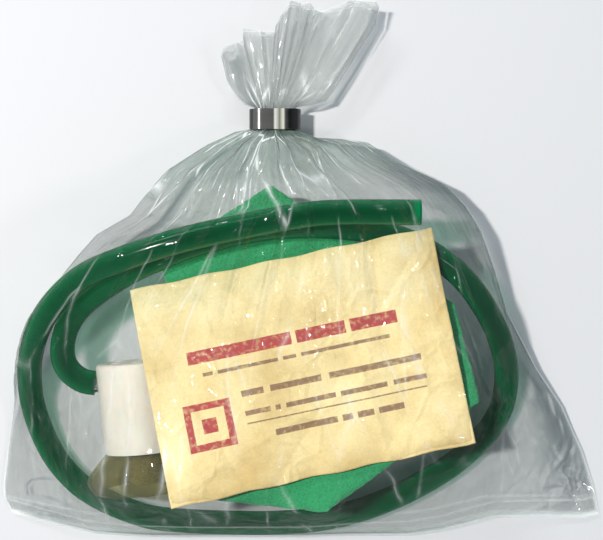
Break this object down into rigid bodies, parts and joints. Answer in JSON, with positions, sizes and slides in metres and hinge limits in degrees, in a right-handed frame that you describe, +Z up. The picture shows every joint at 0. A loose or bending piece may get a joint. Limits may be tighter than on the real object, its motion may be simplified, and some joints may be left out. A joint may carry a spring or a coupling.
{
  "type": "sponge filter",
  "caption": "Aquarium sponge filter kit: green foam block, white cap on a smoky chamber with air stone and a green air hose, packed flat in a tied clear bag with a paper label.",
  "frame": {"origin": "centre of the packed bag's footprint, on the surface it lies on", "axes": "+Z up out of the surface, +Y towards the tied neck of the bag, +X across the bag"},
  "size_m": [0.202, 0.18, 0.0476],
  "materials": {
    "film": "thin clear polythene film, crumpled, glossy along its creases",
    "band": "glossy black flat band",
    "paper": "aged cream paper with plain printed bars",
    "foam": "fine open-cell green foam",
    "hose": "translucent bottle-green soft PVC",
    "cap": "satin milky white moulded plastic",
    "gasket": "matte dark rubber",
    "clear_plastic": "clear slightly greenish rigid plastic",
    "smoky_plastic": "smoky olive transparent rigid plastic",
    "stone": "gritty sintered mineral stone"
  },
  "bodies": {
    "kit": {"bag_back_film": "film", "bag_front_film": "film", "bag_mouth": "film", "label_card": "paper", "foam_block": "foam", "hose": "hose", "hose_end": "hose", "head_cap": "cap", "cap_gasket": "gasket", "inlet_elbow": "clear_plastic", "air_tube": "clear_plastic"},
    "band": {"neck_band": "band"},
    "chamber": {"chamber": "smoky_plastic", "chamber_screen": "cap"},
    "stone": {"stone_stem": "clear_plastic", "air_stone": "stone"}
  },
  "joints": [
    {"name": "band_slide", "type": "slide", "parent": "kit", "child": "band", "axis": [0, 1, 0], "range_m": [0, 0.044], "deforming": ["bag_mouth"]},
    {"name": "chamber_turn", "type": "hinge", "parent": "kit", "child": "chamber", "pos_m": [-0.0534, -0.0295, 0.0203], "axis": [0.0872, -0.9962, 0], "continuous": true},
    {"name": "stone_pull", "type": "slide", "parent": "kit", "child": "stone", "axis": [0.0872, -0.9962, 0], "range_m": [0, 0.005]}
  ]
}
